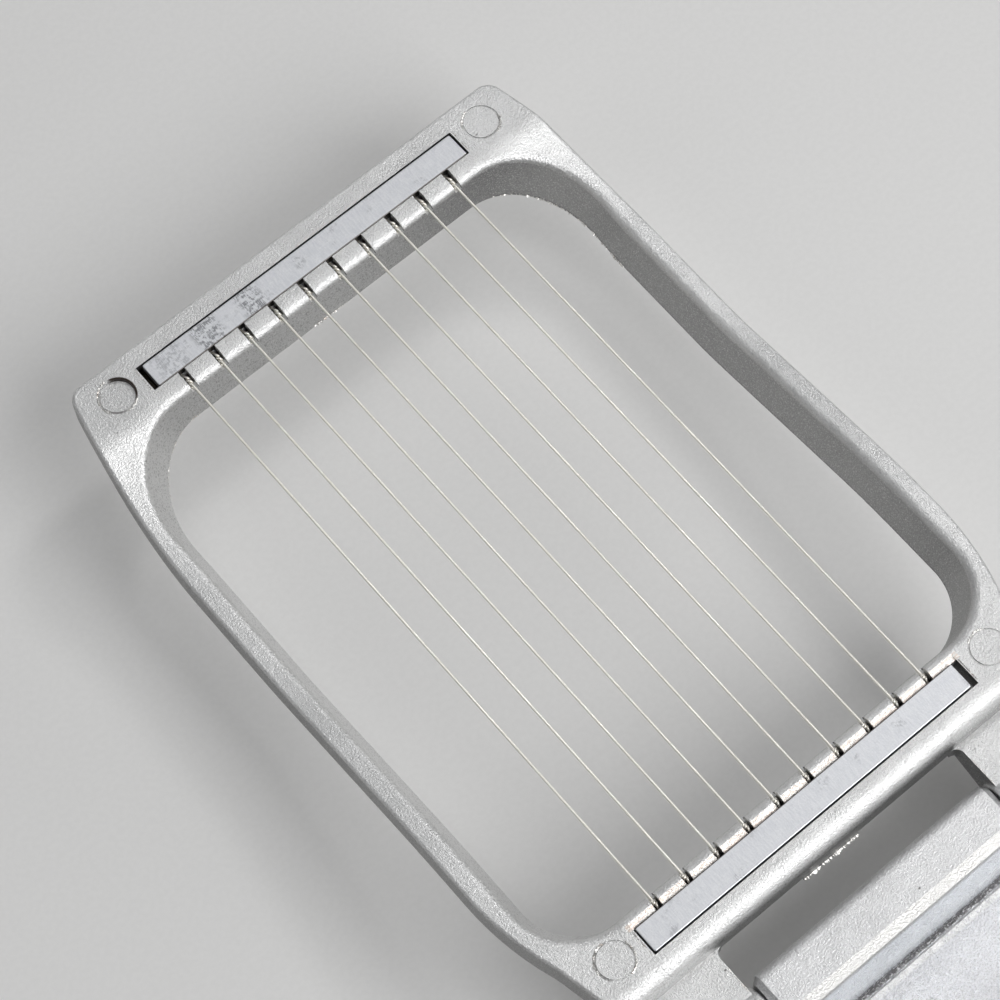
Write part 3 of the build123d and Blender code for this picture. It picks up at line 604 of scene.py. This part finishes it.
def steps(first, last, size):
    """Evenly spaced numbers from first to last, at most size apart."""
    count = max(2, math.ceil(abs(last - first) / size) + 1)
    return [first + (last - first) * i / (count - 1) for i in range(count)]


def drop_onto(skin, x, y, height=50 * MM):
    """The highest point of a surface at x and y, below a height."""
    return skin.ray_cast(Vector((x, y, height)), Vector((0, 0, -1)))[0]


# ---- wires ----------------------------------------------------------------------------
class WireEnd:
    """Where one end of every wire goes: the lip, the rod and the twist before the lip."""

    def __init__(self, rod, bar, outward, lip_reach, twist_length, turns):
        low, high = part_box(rod)
        self.outward = outward
        self.rod_y = (low.y + high.y) / 2
        self.rod_z = (low.z + high.z) / 2
        self.wrap = (high.z - low.z) / 2 + WIRE_RADIUS
        pocket_edge = bar[0].y if outward > 0 else bar[1].y
        self.lip_y = pocket_edge - outward * lip_reach
        self.twist_length = twist_length
        self.turns = turns
        run = Vector((abs(self.rod_y - self.lip_y), WIRE_Z - self.rod_z))
        aim = math.atan2(run.y, run.x)
        spread = math.asin(self.wrap / run.length)
        self.first_angle = math.pi / 2 - (aim - spread)
        self.last_angle = -math.pi / 2 - (aim + spread)

    def twist(self, wire_x, phase, sign, loose):
        """One of the two strands in the twist, from its start to the lip."""
        points = []
        count = round(self.turns * 14)
        for i in range(count + 1):
            done = i / count
            angle = phase - 2 * math.pi * self.turns * (1 - done)
            settle = min(1.0, 3.0 * done)
            radius = WIRE_RADIUS * (1.02 * settle if sign > 0 else 1.02 + loose * (1 - settle))
            y = self.lip_y - self.outward * self.twist_length * (1 - done)
            points.append(Vector((
                wire_x + sign * radius * math.cos(angle), y, WIRE_Z + sign * radius * math.sin(angle)
            )))
        return points

    def eye(self, wire_x, first_x, last_x):
        """The turn round the rod, from the strand on top to the strand that comes back."""
        points = []
        count = 30
        for i in range(count + 1):
            angle = self.first_angle + (self.last_angle - self.first_angle) * i / count
            points.append(Vector((
                wire_x + first_x + (last_x - first_x) * i / count,
                self.rod_y + self.outward * self.wrap * math.cos(angle),
                self.rod_z + self.wrap * math.sin(angle),
            )))
        return points

    def path(self, wire_x):
        """From the straight wire into the twist, round the rod, and back to the tail's tip."""
        phase = math.radians(random.uniform(100, 150))
        half_gap = random.uniform(0.9, 1.25) * WIRE_RADIUS
        loose = random.uniform(1.0, 2.4)
        main = self.twist(wire_x, phase, 1, loose)
        tail = self.twist(wire_x, phase, -1, loose)
        loop = self.eye(wire_x, -half_gap, half_gap)
        tip = tail[0] + Vector((random.uniform(0.15, 0.35), -self.outward * 0.25, 0.1)) * MM
        return main + loop + tail[::-1] + [tip]


def wire_path(wire_x, rear, front):
    """A whole wire as one line of points, from one twisted tail to the other."""
    rear_end = rear.path(wire_x)
    front_end = front.path(wire_x)
    start, stop = rear_end[0], front_end[0]
    straight = [start.lerp(stop, i / 24) for i in range(1, 24)]
    return rear_end[::-1] + straight + front_end


def soften(path, rounds=2):
    """Eases the joins between a path's stretches; the ends stay."""
    for _ in range(rounds):
        inner = [(a + 2 * b + c) / 4 for a, b, c in zip(path, path[1:], path[2:])]
        path = [path[0], *inner, path[-1]]
    return path


def add_wires():
    """Each cutting wire, with its ends led round the anchor rods and twisted on themselves."""
    front = WireEnd("front_anchor_rod", FRONT_BAR, 1, 0.9 * MM, 1.5 * MM, 1.3)
    rear = WireEnd("rear_anchor_rod", REAR_BAR, -1, 0.7 * MM, 0.9 * MM, 1.2)
    for name in WIRES:
        bm = bmesh.new()
        add_tube(bm, soften(wire_path(WIRE_X[name], rear, front)), WIRE_RADIUS * 0.97)
        piece = add_piece(f"cutting_{name}", bm, WIRE_METAL, "frame_body", smooth=True)
        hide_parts(name)


add_wires()


# ---- flash and burrs ------------------------------------------------------------------
def add_notch_burrs(name, bar_edge, outward):
    """Slivers along both sides of the notches that the wires lie in."""
    bm = bmesh.new()
    half_notch = 0.58 * MM
    for wire_x in WIRE_X.values():
        for side in (-1, 1):
            reach = random.uniform(1.2, 2.3) * MM
            start = bar_edge - outward * 0.15 * MM
            x = wire_x + side * half_notch
            path = [drop_onto(FRAME_SKIN, x, y) for y in steps(start, start - outward * reach, 0.12 * MM)]
            if all(path):
                up = Vector((-0.4 * side, 0, 0.9)).normalized()
                add_burr(bm, path, up, 0.10 * MM, 0.11 * MM, coverage=0.6)
    add_piece(name, bm, RAW_METAL, "frame_body")


def wall_lip(origin, direction, top_z):
    """The point of the window's wall, below top_z, that stands out the farthest into the window."""
    hits = []
    z = top_z
    while z > 9 * MM:
        start = Vector((origin.x, origin.y, z))
        hit = FRAME_SKIN.ray_cast(start, direction)[0]
        if hit:
            hits.append(((hit - start).length, z, hit))
        z -= 0.1 * MM
    return min(hits)[2] if hits else None


def add_window_flash():
    """Torn flash at the window's far corners and under its far teeth, on the casting's lower edge."""
    bm = bmesh.new()
    origin = Vector((0, FRONT_BAR[0].y - 24 * MM, 0))
    for first, last, height in ((2, 36, 0.34), (84, 101, 0.34), (139, 160, 0.18)):
        path, out = [], []
        for angle in steps(math.radians(first), math.radians(last), math.radians(0.25)):
            direction = Vector((math.cos(angle), math.sin(angle), 0))
            path.append(wall_lip(origin, direction, PAD_Z - 4.5 * MM))
            out.append((-direction - Vector((0, 0, 0.12))).normalized())
        add_burr(bm, path, out, 0.26 * MM, height * MM, coverage=0.6, sink=0.08 * MM)
    add_piece("window_flash", bm, RAW_METAL, "frame_body")


def add_gate_flash():
    """The broken edge of the gate stub, under the hinge bar."""
    bm = bmesh.new()
    low_z = PAD_Z - 6.2 * MM
    edge_y = HINGE.y + 9.0 * MM
    for first, last in ((-5.45, -4.6), (-4.5, 3.9)):
        path = [Vector((x, edge_y, low_z)) for x in steps(first * MM, last * MM, 0.14 * MM)]
        add_burr(bm, path, Vector((0, -1, -0.08)), 0.26 * MM, 0.45 * MM, coverage=0.85, sink=0.15 * MM)
    add_piece("gate_flash", bm, RAW_METAL, "frame_body")


def add_ejector_rims():
    """Slivers that the ejector pins have squeezed up along parts of their marks."""
    bm = bmesh.new()
    arcs = (
        (-EJECTOR_X, FAR_EJECTOR_Y, 90, 215, 0.13), (-EJECTOR_X, FAR_EJECTOR_Y, -100, -45, 0.12),
        (EJECTOR_X, FAR_EJECTOR_Y, 100, 170, 0.06), (EJECTOR_X, FAR_EJECTOR_Y, -75, -15, 0.10),
        (-EJECTOR_X, NEAR_EJECTOR_Y, 85, 185, 0.11), (-EJECTOR_X, NEAR_EJECTOR_Y, -80, 25, 0.13),
        (EJECTOR_X, NEAR_EJECTOR_Y, -90, -20, 0.08), (EJECTOR_X, NEAR_EJECTOR_Y, 60, 130, 0.06),
    )
    radius = EJECTOR_EDGE + 0.17 * MM
    for x, y, first, last, height in arcs:
        path = []
        for angle in steps(math.radians(first), math.radians(last), math.radians(4)):
            path.append(drop_onto(FRAME_SKIN, x + radius * math.cos(angle), y + radius * math.sin(angle)))
        add_burr(bm, path, Vector((0, 0, 1)), 0.42 * MM, height * MM, coverage=0.95)
    add_piece("ejector_rims", bm, RAW_METAL, "frame_body")


def add_pocket_rims():
    """Ragged bright rims on the pockets' ends."""
    bm = bmesh.new()
    ends = (
        (-POCKET_END_X, FRONT_BAR, 0.10), (POCKET_END_X, FRONT_BAR, 0.06),
        (-POCKET_END_X, REAR_BAR, 0.10), (27.1 * MM, REAR_BAR, 0.16),
    )
    for x, bar, height in ends:
        path = [drop_onto(FRAME_SKIN, x, y) for y in steps(bar[0].y, bar[1].y, 0.14 * MM)]
        add_burr(bm, path, Vector((0, 0, 1)), 0.3 * MM, height * MM, coverage=0.8)
    add_piece("pocket_rims", bm, RAW_METAL, "frame_body")


def add_lug_lines():
    """The faint parting line across the top of each lug."""
    bm = bmesh.new()
    for side in (-1, 1):
        path = [drop_onto(FRAME_SKIN, side * x, LUG_LINE_Y) for x in steps(20.7 * MM, 34.6 * MM, 0.16 * MM)]
        add_burr(bm, path, Vector((0, 0, 1)), 0.16 * MM, 0.07 * MM, coverage=0.55)
    add_piece("lug_parting_lines", bm, FRAME_CASTING, "frame_body")


def add_lug_burrs():
    """Slivers along the lugs' inner edges, beside the hinge block."""
    bm = bmesh.new()
    for side in (-1, 1):
        path = [
            drop_onto(FRAME_SKIN, side * 20.5 * MM, y)
            for y in steps(HINGE.y + 2.4 * MM, HINGE.y + 6.6 * MM, 0.14 * MM)
        ]
        out = Vector((-0.8 * side, 0, 0.5)).normalized()
        add_burr(bm, path, out, 0.16 * MM, 0.14 * MM, coverage=0.85)
    add_piece("lug_edge_burrs", bm, RAW_METAL, "frame_body")


def add_block_flash():
    """Rough flash where the hinge block's wall meets the floor, with a low swelling along it."""
    bm = bmesh.new()
    places = steps(-19.2 * MM, 19.2 * MM, 0.15 * MM)
    above_floor = 12.5 * MM
    foot = [drop_onto(BASE_SKIN, x, FOOT_FLASH_Y, above_floor) for x in places]
    add_burr(bm, foot, Vector((0, 0, 1)), 0.45 * MM, 0.20 * MM, coverage=0.9)
    crest = [drop_onto(BASE_SKIN, x, CREST_Y, above_floor) for x in places]
    add_swelling(bm, crest, Vector((0, -1, 0)), 0.85 * MM, 0.26 * MM)
    add_piece("block_foot_flash", bm, BASE_CASTING, "base_body")


add_notch_burrs("front_notch_burrs", FRONT_BAR[0].y, 1)
add_notch_burrs("rear_notch_burrs", REAR_BAR[1].y, -1)
add_window_flash()
add_gate_flash()
add_ejector_rims()
add_pocket_rims()
add_lug_lines()
add_lug_burrs()
add_block_flash()


# ---- stage ----------------------------------------------------------------------------
def add_floor():
    """A plain pale surface under the slicer."""
    half = 1.2
    mesh = bpy.data.meshes.new("floor")
    corners = [(-half, -half, 0), (half, -half, 0), (half, half, 0), (-half, half, 0)]
    mesh.from_pydata(corners, [], [(0, 1, 2, 3)])
    m = Shader("floor_paper", (0.80, 0.795, 0.785), 0.0, 0.85)
    fibre = m.noise(1 / (0.8 * MM), detail=3.0)
    colour = m.blend(m.spread(fibre, 0.3, 0.7), (0.79, 0.785, 0.775), (0.81, 0.805, 0.795))
    mesh.materials.append(m.finish(colour, None, m.bump(fibre, 0.01 * MM)))
    floor = bpy.data.objects.new("floor", mesh)
    bpy.context.scene.collection.objects.link(floor)


def add_light(name, location, target, size, power, colour=(1, 1, 1)):
    """A soft rectangular lamp aimed at a point."""
    lamp = bpy.data.lights.new(name, "AREA")
    lamp.shape = "RECTANGLE"
    lamp.size, lamp.size_y = size
    lamp.energy = power
    lamp.color = colour
    light = bpy.data.objects.new(name, lamp)
    light.location = location
    light.visible_camera = False
    light.rotation_mode = "QUATERNION"
    light.rotation_quaternion = (Vector(target) - Vector(location)).to_track_quat("-Z", "Y")
    bpy.context.scene.collection.objects.link(light)


def add_world():
    """Dim, even light from all round."""
    world = bpy.data.worlds.new("world")
    world.use_nodes = True
    background = world.node_tree.nodes["Background"]
    background.inputs["Color"].default_value = (0.90, 0.92, 0.95, 1)
    background.inputs["Strength"].default_value = 0.14
    bpy.context.scene.world = world


add_floor()
add_light("key_softbox", (0.22, -0.54, 0.68), (0, 0.03, 0), (0.70, 0.60), 4.7)
add_light("top_softbox", (0.12, 0.26, 0.90), (0, 0.03, 0), (0.90, 0.80), 1.45)
add_light("low_softbox", (0.24, -0.84, 0.27), (0, 0.0, 0), (0.70, 0.30), 0.65)
add_light("back_softbox", (0.20, 0.85, 0.28), (0, 0.0, 0), (0.80, 0.30), 0.65)
add_light("left_softbox", (-0.68, 0.28, 0.56), (0, 0.05, 0), (0.45, 0.45), 0.50)
add_light("right_softbox", (0.82, 0.18, 0.30), (0, 0.05, 0), (0.60, 0.30), 0.50)
add_light("right_lamp", (0.46, 0.26, 0.58), (0, 0.05, 0), (0.12, 0.12), 0.55)
add_world()
bpy.context.scene.view_settings.view_transform = "Standard"
